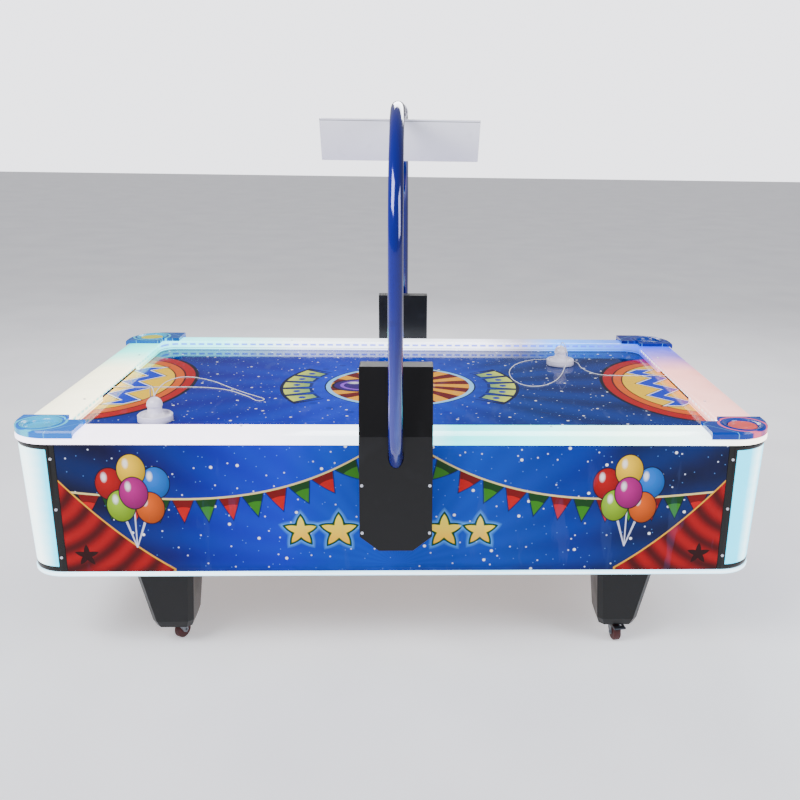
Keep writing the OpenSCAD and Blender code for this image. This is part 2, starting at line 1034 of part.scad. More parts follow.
module box_block(t, drop) {
    w = box_w / 2 - t;
    cut = 50;
    rise = 40;
    foot = box_foot - drop;
    intersection() {
        rotate([90, 0, 90])
            translate([0, 0, -w])
                linear_extrude(2 * w)
                    polygon(box_side(t, drop));
        rotate([90, 0, 0])
            translate([0, 0, -800])
                linear_extrude(800)
                    polygon([
                        [-w, box_top], [-w, foot + rise], [-w + cut, foot + t - 0.01],
                        [w - cut, foot + t - 0.01], [w, foot + rise], [w, box_top]
                    ]);
    }
}

module mount_box(drop) {
    difference() {
        box_block(0, drop);
        box_block(box_wall, drop);
        translate([0, 0, -drop])
            tube_foot(tube_r + 0.3, foot_run);
    }
}

// Straight foot of the tube, on its own, for the holes it passes through.
module tube_foot(r, len) {
    translate([0, arch_y - foot_r + foot_r * cos(socket_a), foot_z - foot_r * sin(socket_a)])
        rotate([180 - socket_a, 0, 0])
            cylinder(r = r, h = len);
}

module mount_box_front() {
    color("black")
        mirror([0, 1, 0])
            mount_box(0);
}

module mount_box_rear() {
    color("black")
        mount_box(box_drop);
}

// Clamp block against the back of the mount box that holds the foot of the tube.
module arch_socket(z) {
    back = fit + box_wall + 0.1;
    difference() {
        union() {
            run_x(40, body_y, 80)
                polygon(wall_section(z - 40, z + 40, back + 62, back));
            run_x(70, body_y, 140)
                polygon(wall_section(z - 65, z + 63, back + 6, back));
        }
        translate([0, 0, z - socket_z])
            tube_foot(tube_r + 0.1, foot_run + 40);
    }
}

module arch_sockets() {
    color("dimgray") {
        arch_socket(socket_z - box_drop);
        mirror([0, 1, 0])
            arch_socket(socket_z);
    }
}

// End view of the scoreboard: its two ends lean in towards the bottom.
module board_outline(t) {
    polygon([
        [-board_l / 2 + t, board_top - t], [board_l / 2 - t, board_top - t],
        [board_l / 2 - board_lean - t, board_top - board_h + t],
        [-board_l / 2 + board_lean + t, board_top - board_h + t]
    ]);
}

module scoreboard() {
    wall = 2;
    color("lavender") {
        difference() {
            translate([0, board_w / 2, 0])
                rotate([90, 0, 0])
                    linear_extrude(board_w)
                        board_outline(0);
            translate([0, board_w / 2 - wall, 0])
                rotate([90, 0, 0])
                    linear_extrude(board_w - 2 * wall)
                        board_outline(wall);
            translate([-board_l, -board_w / 2 + 12, board_top - board_h + 14])
                cube([2 * board_l, board_w - 24, board_h - 28]);
        }
        for (my = [0, 1])
            mirror([0, my, 0])
                translate([0, hanger_y, 0])
                    difference() {
                        union() {
                            translate([-14, -10, board_top])
                                cube([28, 20, arch_axis - board_top]);
                            translate([0, 10, arch_axis])
                                rotate([90, 0, 0])
                                    cylinder(r = tube_r + 4, h = 20);
                        }
                        translate([0, 20, arch_axis])
                            rotate([90, 0, 0])
                                cylinder(r = tube_r + 0.05, h = 40);
                    }
    }
}

module score_displays() {
    color("maroon")
        both_ends()
            difference() {
                intersection() {
                    translate([0, board_w / 2 - 12.2, 0])
                        rotate([90, 0, 0])
                            linear_extrude(board_w - 24.4)
                                board_outline(1);
                    translate([board_l / 2 - 30, -board_w / 2, board_top - board_h + 14.2])
                        cube([60, board_w, board_h - 28.4]);
                }
                for (y = [-40, 40])
                    translate([board_l / 2 - 60, y - 22, board_top - board_h + 30])
                        cube([50, 44, board_h - 60]);
            }
}

// ---- screws ----

module screw_head() {
    intersection() {
        translate([0, 0, -6.5])
            sphere(r = 9.5);
        cylinder(r = screw_r, h = 4);
    }
}

module panel_screws() {
    color("white") {
        for (z = screw_zs)
            each_corner()
                translate([strip_x + strip_w / 2, body_y + body_r(z) + frame_proud + fit, z])
                    rotate([-90, 0, 0])
                        screw_head();
        for (side = [0, 1], x = [-box_screw_x, box_screw_x], z = box_screw_zs)
            mirror([0, side, 0])
                translate([x, box_face + run_fit, z - (side == 0 ? box_drop : 0)])
                    rotate([-90, 0, 0])
                        screw_head();
        for (my = [0, 1], x = [-rail_screw_x, rail_screw_x])
            mirror([0, my, 0])
                translate([x, rink_y + 22, rail_top + run_fit])
                    screw_head();
        both_ends()
            for (y = [-rail_screw_y, rail_screw_y])
                translate([rink_x + 24, y, rail_top + run_fit])
                    screw_head();
    }
}

// ---- mallets and tethers ----

module mallet(i) {
    r = mallet_d / 2;
    dome = 23;
    base_h = 22;
    shoulder = mallet_h - dome;
    color("white")
        translate([mallet_at[i][0], mallet_at[i][1], playfield_z + fit])
            rotate_extrude()
                polygon(concat(
                    [[0, 0], [r - 2, 0], [r, 2], [r, base_h - 3], [r - 3, base_h], [r - 8, base_h]],
                    [[r - 11, base_h - 4], [dome + 6, base_h - 4], [dome - 1, base_h + 4], [dome - 3, shoulder - 8]],
                    [for (a = [0 : 15 : 90]) [dome * cos(a), shoulder - 2 + (dome + 2) * sin(a)]]
                ));
}

module mallet_left() { mallet(0); }
module mallet_right() { mallet(1); }

// A puck lies in a corner cup; each is loose and can be picked up.
module puck(mx, my) {
    h = 6;
    color(my == 1 ? "tomato" : "gold")
        mirror([mx, 0, 0])
            mirror([0, my, 0])
                translate([cup_x, cup_y, rail_top + 3.5])
                    rotate_extrude()
                        polygon([
                            [0, 0], [puck_d / 2 - 1, 0], [puck_d / 2, 1],
                            [puck_d / 2, h - 1], [puck_d / 2 - 1, h], [0, h]
                        ]);
}

module puck_front() { puck(0, 1); }
module puck_rear() { puck(1, 0); }

// Points on a circle round a route point, square to the route.
function unit(v) = v / norm(v);
function route_dir(p, i) = unit(p[min(i + 1, len(p) - 1)] - p[max(i - 1, 0)]);
function ring(p, i, r, n) =
    let (t = route_dir(p, i))
    let (a = unit(cross(t, [0, 0, 1])))
    let (b = cross(t, a))
    [for (k = [0 : n - 1]) p[i] + r * (cos(360 * k / n) * a + sin(360 * k / n) * b)];

module cord(route, d, n) {
    m = len(route);
    points = [for (i = [0 : m - 1]) each ring(route, i, d / 2, n)];
    sides = [
        for (i = [0 : m - 2], k = [0 : n - 1])
            let (q = (k + 1) % n)
            [i * n + k, (i + 1) * n + k, (i + 1) * n + q, i * n + q]
    ];
    ends = [[for (k = [0 : n - 1]) k], [for (k = [n - 1 : -1 : 0]) (m - 1) * n + k]];
    polyhedron(points, concat(sides, ends));
}

module tether_left() {
    color("white")
        cord(tether_left_route, tether_d, 8);
}

module tether_right() {
    color("white")
        cord(tether_right_route, tether_d, 8);
}

base_board();
top_frame();
corner_posts();
front_panel();
rear_panel();
left_end_panel();
right_end_panel();
corner_lights();
corner_frames();
bottom_rim();
led_strips();
front_rail();
rear_rail();
left_rail();
right_rail();
corner_cover_front_left();
corner_cover_front_right();
corner_cover_rear_left();
corner_cover_rear_right();
corner_cups();
playfield();
air_plenum();
blower_housing();
blower_motor();
blower_impeller();
goal_chutes();
control_box();
power_supply();
power_inlet();
power_switch();
service_door();
door_hinge();
leg_front_left();
leg_front_right();
leg_rear_left();
leg_rear_right();
caster_plates();
caster_fork_front_left();
caster_fork_front_right();
caster_fork_rear_left();
caster_fork_rear_right();
wheel_front_left();
wheel_front_right();
wheel_rear_left();
wheel_rear_right();
brake_front_left();
brake_front_right();
arch_tube();
arch_sockets();
mount_box_front();
mount_box_rear();
scoreboard();
score_displays();
panel_screws();
mallet_left();
mallet_right();
tether_left();
tether_right();
puck_front();
puck_rear();
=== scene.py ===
"""Air hockey table: the looks of every piece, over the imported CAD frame."""

import math

import bmesh
import bpy
from mathutils import Matrix, Vector


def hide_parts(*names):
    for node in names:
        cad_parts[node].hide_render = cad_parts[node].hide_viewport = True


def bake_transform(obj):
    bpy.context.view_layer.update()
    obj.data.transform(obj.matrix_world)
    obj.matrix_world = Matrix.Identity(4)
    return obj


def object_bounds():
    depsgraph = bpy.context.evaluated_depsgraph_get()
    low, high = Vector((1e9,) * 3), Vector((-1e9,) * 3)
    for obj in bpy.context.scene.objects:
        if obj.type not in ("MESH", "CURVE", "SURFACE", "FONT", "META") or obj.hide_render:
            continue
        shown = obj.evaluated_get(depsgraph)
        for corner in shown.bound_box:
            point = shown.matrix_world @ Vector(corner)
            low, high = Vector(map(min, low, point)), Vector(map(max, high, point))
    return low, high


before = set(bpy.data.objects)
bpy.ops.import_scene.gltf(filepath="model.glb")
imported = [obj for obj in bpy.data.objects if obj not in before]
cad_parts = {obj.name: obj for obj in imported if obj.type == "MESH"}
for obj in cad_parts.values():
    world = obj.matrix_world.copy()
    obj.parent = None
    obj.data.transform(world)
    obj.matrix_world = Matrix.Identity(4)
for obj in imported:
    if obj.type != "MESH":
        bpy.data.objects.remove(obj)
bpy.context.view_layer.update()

# Heights of the playfield and of the top of the rails, and half the length and width of the rink.
PLAY_Z = 0.655
RAIL_Z = 0.685
RINK_X = 0.92
RINK_Y = 0.53

# Middle of the cup in each corner.
CUP_X = 0.97
CUP_Y = 0.56

# Tether cord: its width, and the height of its middle where it lies on the playfield.
TETHER_WIDTH = 0.003
CORD_Z = 0.6568

# Power that deepens every colour, because the soft studio light pales them.
INK_DEPTH = 1.65

# String of pennants: spacing, half width and depth of one, and where the string's lowest point is.
PENNANT_PITCH = 0.063
PENNANT_HALF = 0.029
PENNANT_DEPTH = 0.068
PENNANT_START = 0.863
STRING_LOW = 0.588
STRING_Z = 0.5

# Centre circle, and the fan of blocks on each side of it.
CIRCLE_R = 0.247
BAND_R = 0.345
BAND_HALF = 0.042

# Brightness of the surroundings, as light on the table and as a backdrop.
SURROUND_LIGHT = 0.32
BACKDROP_LIGHT = 3.2


def srgb(red, green, blue):
    """A colour given in screen values from 0 to 255, as linear light, a little deeper than on screen."""
    parts = []
    for value in (red, green, blue):
        v = value / 255
        light = v / 12.92 if v <= 0.04045 else ((v + 0.055) / 1.055) ** 2.4
        parts.append(light**INK_DEPTH)
    return (parts[0], parts[1], parts[2], 1.0)


WHITE = srgb(250, 250, 252)
BLACK = srgb(10, 11, 16)
YELLOW = srgb(245, 214, 60)
LIME = srgb(176, 205, 62)
GREEN = srgb(28, 120, 66)
RED = srgb(196, 34, 46)
DEEP_RED = srgb(112, 16, 34)
ORANGE = srgb(226, 134, 38)
PALE_BLUE = srgb(120, 200, 255)
VIOLET = srgb(98, 44, 150)


# ---- shader maths ----


class Wire:
    """A value in a shader, with ordinary arithmetic."""

    def __init__(self, paint, socket):
        self.paint = paint
        self.socket = socket

    def maths(self, operation, *others):
        values = {0: self, **dict(enumerate(others, 1))}
        return self.paint.node("ShaderNodeMath", {"operation": operation}, values)

    def __add__(self, other):
        return self.maths("ADD", other)

    __radd__ = __add__

    def __sub__(self, other):
        return self.maths("SUBTRACT", other)

    def __rsub__(self, other):
        return self.paint.node("ShaderNodeMath", {"operation": "SUBTRACT"}, {0: other, 1: self})

    def __mul__(self, other):
        return self.maths("MULTIPLY", other)

    __rmul__ = __mul__

    def __truediv__(self, other):
        return self.maths("DIVIDE", other)

    def __neg__(self):
        return self.maths("MULTIPLY", -1.0)

    def __abs__(self):
        return self.maths("ABSOLUTE")

    def __pow__(self, power):
        return self.maths("POWER", power)

    def __mod__(self, length):
        return self.maths("FLOORED_MODULO", length)

    def over(self, limit):
        return self.maths("GREATER_THAN", limit)

    def least(self, other):
        return self.maths("MINIMUM", other)

    def most(self, other):
        return self.maths("MAXIMUM", other)

    def sine(self):
        return self.maths("SINE")

    def floor(self):
        return self.maths("FLOOR")

    def clamped(self):
        return self.least(1.0).most(0.0)

    def inside(self, soft=0.0008):
        """1 where this distance is negative, with an edge about soft wide."""
        return (0.5 - self * (0.5 / soft)).clamped()


class Paint:
    """A material under construction: its node tree, and the place of each point of the surface."""

    def __init__(self, name):
        self.material = bpy.data.materials.new(name)
        self.material.use_nodes = True
        self.tree = self.material.node_tree
        self.shader = self.tree.nodes["Principled BSDF"]
        place = self.tree.nodes.new("ShaderNodeTexCoord")
        self.place = Wire(self, place.outputs["Object"])
        split = self.tree.nodes.new("ShaderNodeSeparateXYZ")
        self.tree.links.new(place.outputs["Object"], split.inputs[0])
        self.x, self.y, self.z = (Wire(self, split.outputs[i]) for i in range(3))

    def put(self, socket, value):
        if isinstance(value, Wire):
            self.tree.links.new(value.socket, socket)
        else:
            socket.default_value = value

    def node(self, kind, settings, values, output=0):
        made = self.tree.nodes.new(kind)
        for key, value in settings.items():
            setattr(made, key, value)
        for key, value in values.items():
            self.put(made.inputs[key], value)
        return Wire(self, made.outputs[output])

    def distance(self, across, up):
        return (across * across + up * up) ** 0.5

    def angle(self, across, up):
        return self.node("ShaderNodeMath", {"operation": "ARCTAN2"}, {0: up, 1: across})

    def stretched(self, sx, sy, sz):
        return self.node(
            "ShaderNodeVectorMath", {"operation": "MULTIPLY"}, {0: self.place, 1: (sx, sy, sz)}
        )

    def noise(self, scale, detail=3.0, place=None):
        return self.node(
            "ShaderNodeTexNoise", {}, {"Vector": place or self.place, "Scale": scale, "Detail": detail}
        )

    def cells(self, scale, place=None):
        return self.node("ShaderNodeTexVoronoi", {}, {"Vector": place or self.place, "Scale": scale})

    def dots(self, across, up, spacing, radius, soft=0.0008):
        """Round dots of one size, scattered over a flat printed face."""
        flat = self.node("ShaderNodeCombineXYZ", {}, {0: across, 1: up})
        near = self.node(
            "ShaderNodeTexVoronoi", {"voronoi_dimensions": "2D"}, {"Vector": flat, "Scale": 1 / spacing}
        )
        return (near * spacing - radius).inside(soft)

    def mix(self, mask, below, above):
        return self.node("ShaderNodeMix", {"data_type": "RGBA"}, {0: mask, 6: below, 7: above}, 2)

    def ramp(self, value, low, high, stops):
        """Colours along a value that runs from low to high."""
        made = self.tree.nodes.new("ShaderNodeValToRGB")
        self.put(made.inputs[0], (value - low) * (1.0 / (high - low)))
        elements = made.color_ramp.elements
        for i, (at, colour) in enumerate(stops):
            element = elements[i] if i < 2 else elements.new(1.0)
            element.position = (at - low) / (high - low)
            element.color = colour
        return Wire(self, made.outputs[0])

    def bump(self, height, strength, distance=0.001):
        self.put(
            self.shader.inputs["Normal"],
            self.node("ShaderNodeBump", {}, {"Height": height, "Strength": strength, "Distance": distance}),
        )

    def finish(self, **inputs):
        for key, value in inputs.items():
            self.put(self.shader.inputs[key.replace("_", " ")], value)
        return self.material


def star(p, across, up, radius):
    """Signed distance to a five-pointed star."""
    turn = p.angle(up, across) * (5 / math.tau)
    point = abs(turn % 1.0 - 0.5) * 2.0
    return p.distance(across, up) - radius * (0.42 + 0.58 * point ** 1.5)


def wear(p, scale=9.0):
    """Faint smears and rubbed places, from 0 to 1."""
    return (p.noise(scale, 5.0) - 0.42).clamped() * 2.0


def plain(name, colour, roughness, metallic=0.0, grain=0.15, grain_scale=900.0, coat=0.0, dust=0.06):
    """A one-colour finish with grain, rubbed patches and a little dust."""
    p = Paint(name)
    rub = wear(p)
    dark = tuple(c * 0.78 for c in colour[:3]) + (1.0,)
    base = p.mix((rub * 0.9).clamped(), colour, dark)
    speck = (0.12 - p.cells(420.0)).clamped() * 6.0
    base = p.mix((speck * dust * 4.0).clamped(), base, srgb(190, 190, 188))
    p.bump(p.noise(grain_scale, 4.0), grain, 0.0004)
    return p.finish(
        Base_Color=base,
        Roughness=(roughness + 0.18 * (rub - 0.35)).clamped(),
        Metallic=metallic,
        Specular_IOR_Level=0.25,
        Coat_Weight=coat,
    )


# ---- cabinet art ----


def panel_colours(p, across):
    stops = [
        (-1.02, srgb(24, 18, 50)),
        (-0.935, srgb(27, 21, 54)),
        (-0.78, srgb(27, 24, 96)),
        (-0.625, srgb(21, 34, 142)),
        (-0.47, srgb(22, 58, 186)),
        (-0.314, srgb(16, 80, 210)),
        (-0.158, srgb(12, 106, 206)),
        (0.18, srgb(14, 108, 202)),
        (0.336, srgb(36, 97, 182)),
        (0.49, srgb(28, 75, 165)),
        (0.647, srgb(33, 61, 118)),
        (0.88, srgb(42, 50, 86)),
    ]
    return p.ramp(across, -1.02, 1.02, stops)


def bunting(p, coat, side):
    """A string of pennants that hangs in a curve on each half of the panel."""
    u = STRING_LOW - side
    string = STRING_Z + 0.3482 * u * u + 0.3836 * u * u * u
    slope = -(0.6964 * u + 1.1508 * u * u)
    drop = string - p.z
    place = (PENNANT_START - (side - slope * drop)) / PENNANT_PITCH
    count = place.floor()
    local = (place - count - 0.46) * PENNANT_PITCH
    width = PENNANT_HALF * (1.0 - drop / PENNANT_DEPTH)
    shape = (abs(local) - width).most(-drop)
    odd = (count % 2.0).over(0.5)
    lower = (drop - 0.024 - 9.0 * local * local).over(0.0)
    red_part = p.mix(lower, srgb(150, 20, 34), srgb(206, 40, 46))
    green_part = p.mix(lower, srgb(40, 104, 50), srgb(92, 158, 60))
    coat = p.mix((shape - 0.003).inside() * 0.85, coat, srgb(12, 16, 48))
    coat = p.mix(shape.inside(), coat, p.mix(odd, red_part, green_part))
    return p.mix((abs(drop) - 0.0028).inside(), coat, srgb(232, 220, 170))


def drape(p, coat, side, star_at):
    """A red curtain across the lower corner, with a darker star on it."""
    line = 0.300 + (side - 0.64) * 0.68 + 0.9 * (side - 0.64) * (side - 0.64)
    below = p.z - line
    cloth = below.most(0.62 - side)
    folds = (p.distance(side - 0.98, p.z - 0.56) * 105.0).sine() * 0.5 + 0.5
    red = p.mix(folds, srgb(118, 18, 36), srgb(188, 34, 48))
    coat = p.mix((cloth - 0.006).inside(), coat, srgb(232, 190, 70))
    coat = p.mix(cloth.inside(), coat, red)
    return p.mix(star(p, side - star_at, p.z - 0.33, 0.034).inside(), coat, srgb(84, 10, 26))


def balloons(p, coat, across, centre):
    """A bunch of balloons on strings."""
    bunch = [
        (-0.060, 0.545, RED),
        (0.062, 0.548, srgb(40, 150, 222)),
        (0.0, 0.585, YELLOW),
        (-0.034, 0.480, LIME),
        (0.044, 0.474, ORANGE),
        (0.002, 0.518, srgb(196, 60, 160)),
    ]
    knot = 0.355
    for dx, z, colour in bunch:
        drop = (p.z - knot) * (1.0 / (z - knot))
        string = abs(across - centre - dx * drop) - 0.0014
        coat = p.mix(string.most(p.z - z).most(knot - p.z).inside(), coat, srgb(220, 222, 236))
    for dx, z, colour in bunch:
        du = across - (centre + dx)
        dv = (p.z - z) * 0.82
        size = p.distance(du, dv)
        dark = tuple(c * 0.45 for c in colour[:3]) + (1.0,)
        shade = (p.distance(du + 0.010, dv - 0.012) * 24.0 - 0.25).clamped()
        coat = p.mix((size - 0.040).inside(), coat, srgb(16, 22, 60))
        coat = p.mix((size - 0.0375).inside(), coat, p.mix(shade, colour, dark))
        glint = p.distance(du + 0.014, (dv - 0.016) * 0.7) - 0.007
        coat = p.mix(glint.inside(0.003) * 0.8, coat, WHITE)
    return coat


def outlined_star(p, coat, across, up, radius):
    """A yellow star with a green outline, where lettering would be."""
    shape = star(p, across, up, radius)
    coat = p.mix((shape - 0.017).inside(0.006) * 0.55, coat, PALE_BLUE)
    coat = p.mix((shape - 0.009).inside(), coat, srgb(14, 50, 64))
    coat = p.mix((shape - 0.006).inside(), coat, GREEN)
    tone = p.mix(((up + radius) / (2 * radius)).clamped(), srgb(246, 200, 52), srgb(254, 240, 120))
    return p.mix(shape.inside(), coat, tone)


def confetti(p, coat, across, up):
    """Scattered white dots of three sizes."""
    coat = p.mix(p.dots(across + 3.1, up, 0.046, 0.0014) * 0.6, coat, srgb(140, 190, 250))
    coat = p.mix(p.dots(across, up, 0.070, 0.0022), coat, srgb(226, 232, 250))
    return p.mix(p.dots(across + 7.7, up + 1.3, 0.125, 0.0042), coat, WHITE)


def panel_material(name, across_axis, flip, is_end):
    """Printed laminate on one side of the cabinet."""
    p = Paint(name)
    across = {"x": p.x, "y": p.y}[across_axis] * (1.0 if flip else -1.0)
    side = abs(across)
    if is_end:
        across = across * 1.3
        side = abs(across) + 0.12
    coat = panel_colours(p, across)
    coat = p.mix(((0.40 - p.z) * 3.0).clamped(), coat, p.mix(0.55, coat, BLACK))
    rays = ((p.angle(across, p.z - 0.30) * 34.0).sine() * 0.5 + 0.5) * 0.08
    coat = p.mix(rays, coat, srgb(60, 140, 240))
    coat = p.mix((p.noise(3.2, 4.0) - 0.5).clamped() * 0.4, coat, srgb(30, 100, 220))
    coat = confetti(p, coat, across, p.z)
    coat = bunting(p, coat, side)
    coat = drape(p, coat, side, 0.855)
    if is_end:
        for at, radius in ((-0.19, 0.042), (0.0, 0.055), (0.19, 0.042)):
            coat = outlined_star(p, coat, across - at, p.z - 0.40, radius)
    else:
        coat = balloons(p, coat, across, -0.715)
        coat = balloons(p, coat, across, 0.640)
        for at, radius in ((-0.265, 0.044), (-0.160, 0.050), (0.132, 0.050), (0.232, 0.044)):
            coat = outlined_star(p, coat, across - at, p.z - 0.404, radius)
    scuff = (p.noise(16.0, 6.0, p.stretched(1.0, 1.0, 0.2)) - 0.62).clamped() * 2.2
    coat = p.mix(scuff.least(0.10), coat, srgb(120, 140, 190))
    edge_dirt = ((0.305 - p.z) * 28.0).clamped() * p.noise(30.0, 4.0)
    coat = p.mix(edge_dirt, coat, srgb(14, 13, 20))
    p.bump(p.noise(260.0, 2.0), 0.08, 0.0005)
    return p.finish(Base_Color=coat, Roughness=0.3 + 0.25 * scuff, Specular_IOR_Level=0.16)


# ---- playfield art ----


def goal_area(p, coat, end):
    """Nested ovals in front of a goal, with a bolt across them."""
    dx = p.x - end * 0.96
    rings = [
        (0.277, 0.412, srgb(20, 24, 70)),
        (0.265, 0.400, RED),
        (0.236, 0.353, DEEP_RED),
        (0.230, 0.347, ORANGE),
        (0.204, 0.305, srgb(120, 60, 20)),
        (0.199, 0.300, YELLOW),
    ]
    for wide, deep, colour in rings:
        coat = p.mix((p.distance(dx / wide, p.y / deep) - 1.0).inside(0.006), coat, colour)
    wave = abs((p.y / 0.15 + 0.25) % 1.0 - 0.5) * 4.0 - 1.0
    bolt = (abs(p.x - end * 0.872 - 0.034 * wave) - 0.026).most(abs(p.y) - 0.23)
    coat = p.mix((bolt - 0.012).inside(), coat, srgb(18, 20, 66))
    coat = p.mix((bolt - 0.007).inside(), coat, WHITE)
    return p.mix(bolt.inside(), coat, srgb(24, 92, 214))


def lime_band(p, coat):
    """A fan of lime blocks on each side of the centre circle."""
    radius = p.distance(p.x, p.y)
    fan = p.angle(abs(p.x), p.y)
    pitch = math.radians(13)
    local = (fan / pitch + 0.5) % 1.0 - 0.5
    arc = abs(local) * pitch * radius
    out = radius - BAND_R
    block = (arc - 0.026 - 0.18 * out).most(abs(out) - BAND_HALF)
    block = block.most(abs(fan) * BAND_R - math.radians(33) * BAND_R)
    coat = p.mix((block - 0.011).inside(), coat, srgb(14, 20, 70))
    notch = p.distance(arc, out) - 0.012
    fade = ((radius - 0.31) * 14.0).clamped()
    coat = p.mix(block.inside(), coat, p.mix(fade, LIME, srgb(226, 232, 110)))
    return p.mix(notch.inside(), coat, srgb(24, 70, 180))


def centre_circle(p, coat):
    """Sunburst with a plain puck disc to the left of its middle."""
    radius = p.distance(p.x, p.y)
    turn = p.angle(p.x, p.y)
    coat = p.mix(((0.42 - radius) * 3.2).clamped() * 0.45, coat, srgb(30, 120, 240))
    rays = (turn * 14.0 + 9.0 * radius).sine().over(0.0)
    burst = p.mix(rays, srgb(142, 22, 44), srgb(240, 190, 52))
    burst = p.mix(((0.12 - radius) * 14.0).clamped(), burst, WHITE)
    coat = p.mix((radius - 0.252).inside(), coat, srgb(20, 30, 96))
    coat = p.mix((radius - CIRCLE_R).inside(), coat, srgb(168, 222, 255))
    coat = p.mix((radius - 0.232).inside(), coat, burst)
    du = p.x + 0.125
    puck = p.distance(du, p.y * 1.25)
    coat = p.mix((puck - 0.104).inside(), coat, srgb(28, 12, 60))
    coat = p.mix((puck - 0.096).inside(), coat, VIOLET)
    coat = p.mix((abs(puck - 0.070) - 0.006).inside(), coat, srgb(178, 120, 226))
    return p.mix((p.distance(du + 0.03, (p.y - 0.03) * 1.5) - 0.018).inside(0.01) * 0.8, coat, WHITE)


def playfield_material():
    p = Paint("playfield_print")
    stops = [
        (-0.95, srgb(17, 18, 132)),
        (-0.6, srgb(8, 40, 176)),
        (-0.25, srgb(4, 76, 207)),
        (0.1, srgb(8, 84, 190)),
        (0.4, srgb(12, 84, 150)),
        (0.65, srgb(14, 74, 136)),
        (0.95, srgb(16, 54, 110)),
    ]
    coat = p.ramp(p.x, -0.95, 0.95, stops)
    beams = (p.angle(p.x, p.y) * 23.0).sine() * 0.5 + 0.5
    coat = p.mix(beams * 0.12, coat, srgb(50, 140, 250))
    coat = p.mix((p.noise(4.0, 5.0) - 0.45).clamped(), coat, srgb(8, 24, 130))
    coat = confetti(p, coat, p.x, p.y)
    for end in (-1, 1):
        coat = goal_area(p, coat, end)
    coat = lime_band(p, coat)
    coat = centre_circle(p, coat)
    middle_line = (abs(p.x) - 0.004).most(CIRCLE_R - p.distance(p.x, p.y))
    coat = p.mix(middle_line.inside(), coat, srgb(190, 214, 250))
    # Painted shade: dark dots on a 25.4 mm grid on the top face stand in for the shade inside the air
    # holes.
    pitch = 0.0254
    air_hole_shade = p.distance((p.x % pitch) - pitch / 2, (p.y % pitch) - pitch / 2) - 0.0008
    on_top = p.z.over(PLAY_Z - 0.001)
    coat = p.mix(air_hole_shade.inside(0.0004) * on_top, coat, srgb(8, 12, 40))
    swirl = (p.noise(26.0, 6.0, p.stretched(1.0, 0.35, 1.0)) - 0.56).clamped()
    coat = p.mix((swirl * 0.5).least(0.05), coat, srgb(150, 170, 215))
    p.bump(p.noise(8.0, 2.0), 0.05, 0.002)
    return p.finish(Base_Color=coat, Roughness=0.08 + 0.45 * swirl, Specular_IOR_Level=0.1)


# ---- lit pieces ----


def lit_rail_material(name, along, stops, dashes, strength):
    """Milky acrylic with a light strip behind its inner wall."""
    p = Paint(name)
    value = {"x": p.x, "y": p.y}[along]
    reach = 1.0 if along == "x" else 0.62
    tone = p.ramp(value, -reach, reach, stops)
    across = abs(p.y) - RINK_Y if along == "x" else abs(p.x) - RINK_X
    wall = (0.0015 - across).over(0.0) * (RAIL_Z - 0.002 - p.z).over(0.0)
    dash = (abs(value % 0.033 - 0.0165) - 0.011).inside(0.001)
    band = (abs(p.z - 0.674) - 0.0035).inside(0.0008)
    tone = p.mix(wall * dash * band * 0.85, tone, dashes)
    joint = (abs(p.z - 0.6605) - 0.0012).inside(0.0004)
    tone = p.mix(joint * wall * 0.8, tone, srgb(30, 60, 90))
    cloud = p.noise(14.0, 5.0)
    glow = (0.72 + 0.5 * cloud) * (1.0 - 0.3 * (across * 9.0).clamped())
    shade = p.mix(0.35 * cloud, tone, WHITE)
    scratch = (p.noise(60.0, 3.0, p.stretched(0.15, 1.0, 1.0)) - 0.6).clamped()
    p.bump(p.noise(350.0, 2.0), 0.06, 0.0004)
    lit = p.mix(glow.clamped(), p.mix(0.6, tone, BLACK), tone)
    return p.finish(
        Base_Color=shade, Roughness=0.16 + 0.5 * scratch, Emission_Color=lit, Emission_Strength=strength,
        Coat_Weight=0.3,
    )


def corner_light_material():
    """Milky acrylic bow, brightest in the middle and cyan at its edges."""
    p = Paint("corner_light_acrylic")
    turn = p.angle(abs(p.x) - 0.93, abs(p.y) - 0.52)
    off = abs(turn - math.pi / 4) * (4 / math.pi)
    edge = ((off - 0.18) * 1.5 + 0.6 * p.x.over(0.0)).clamped()
    tone = p.mix(edge, srgb(240, 255, 255), srgb(14, 214, 236))
    tone = p.mix((p.noise(7.0, 3.0) - 0.45).clamped() * 0.8, tone, srgb(150, 240, 255))
    spots = (abs(p.z % 0.0333 - 0.0166) - 0.010).inside(0.006) * (1.0 - edge) * 0.25
    tone = p.mix(spots, tone, WHITE)
    dirt = (p.noise(30.0, 5.0) - 0.6).clamped()
    p.bump(p.noise(300.0, 2.0), 0.08, 0.0004)
    return p.finish(
        Base_Color=p.mix(dirt, tone, srgb(120, 150, 160)), Roughness=0.25 + 0.4 * dirt, Emission_Color=tone,
        Emission_Strength=3.2, Coat_Weight=0.1,
    )


def rim_material():
    """Pale clear acrylic edge under the cabinet, lit along its length."""
    p = Paint("bottom_rim_acrylic")
    tone = p.mix(p.noise(5.0, 4.0), srgb(150, 226, 250), srgb(236, 250, 255))
    line = (abs(p.z - 0.2735) - 0.0022).inside(0.0008)
    tone = p.mix(line * 0.6, tone, WHITE)
    p.bump(p.noise(200.0, 2.0), 0.1, 0.0004)
    return p.finish(
        Base_Color=tone, Roughness=0.12 + 0.2 * p.noise(20.0), Emission_Color=tone, Emission_Strength=3.0,
        Coat_Weight=0.6,
    )


def led_strip_material():
    """Tape with small square light sources."""
    p = Paint("led_tape")
    value = p.x + p.y + p.z
    lamp = (abs(value % 0.0167 - 0.008) - 0.0025).inside(0.0005)
    base = p.mix(lamp, srgb(216, 220, 226), srgb(255, 250, 214))
    return p.finish(
        Base_Color=base, Roughness=0.4 + 0.2 * p.noise(90.0), Emission_Color=base, Emission_Strength=0.8
    )


# ---- other pieces ----


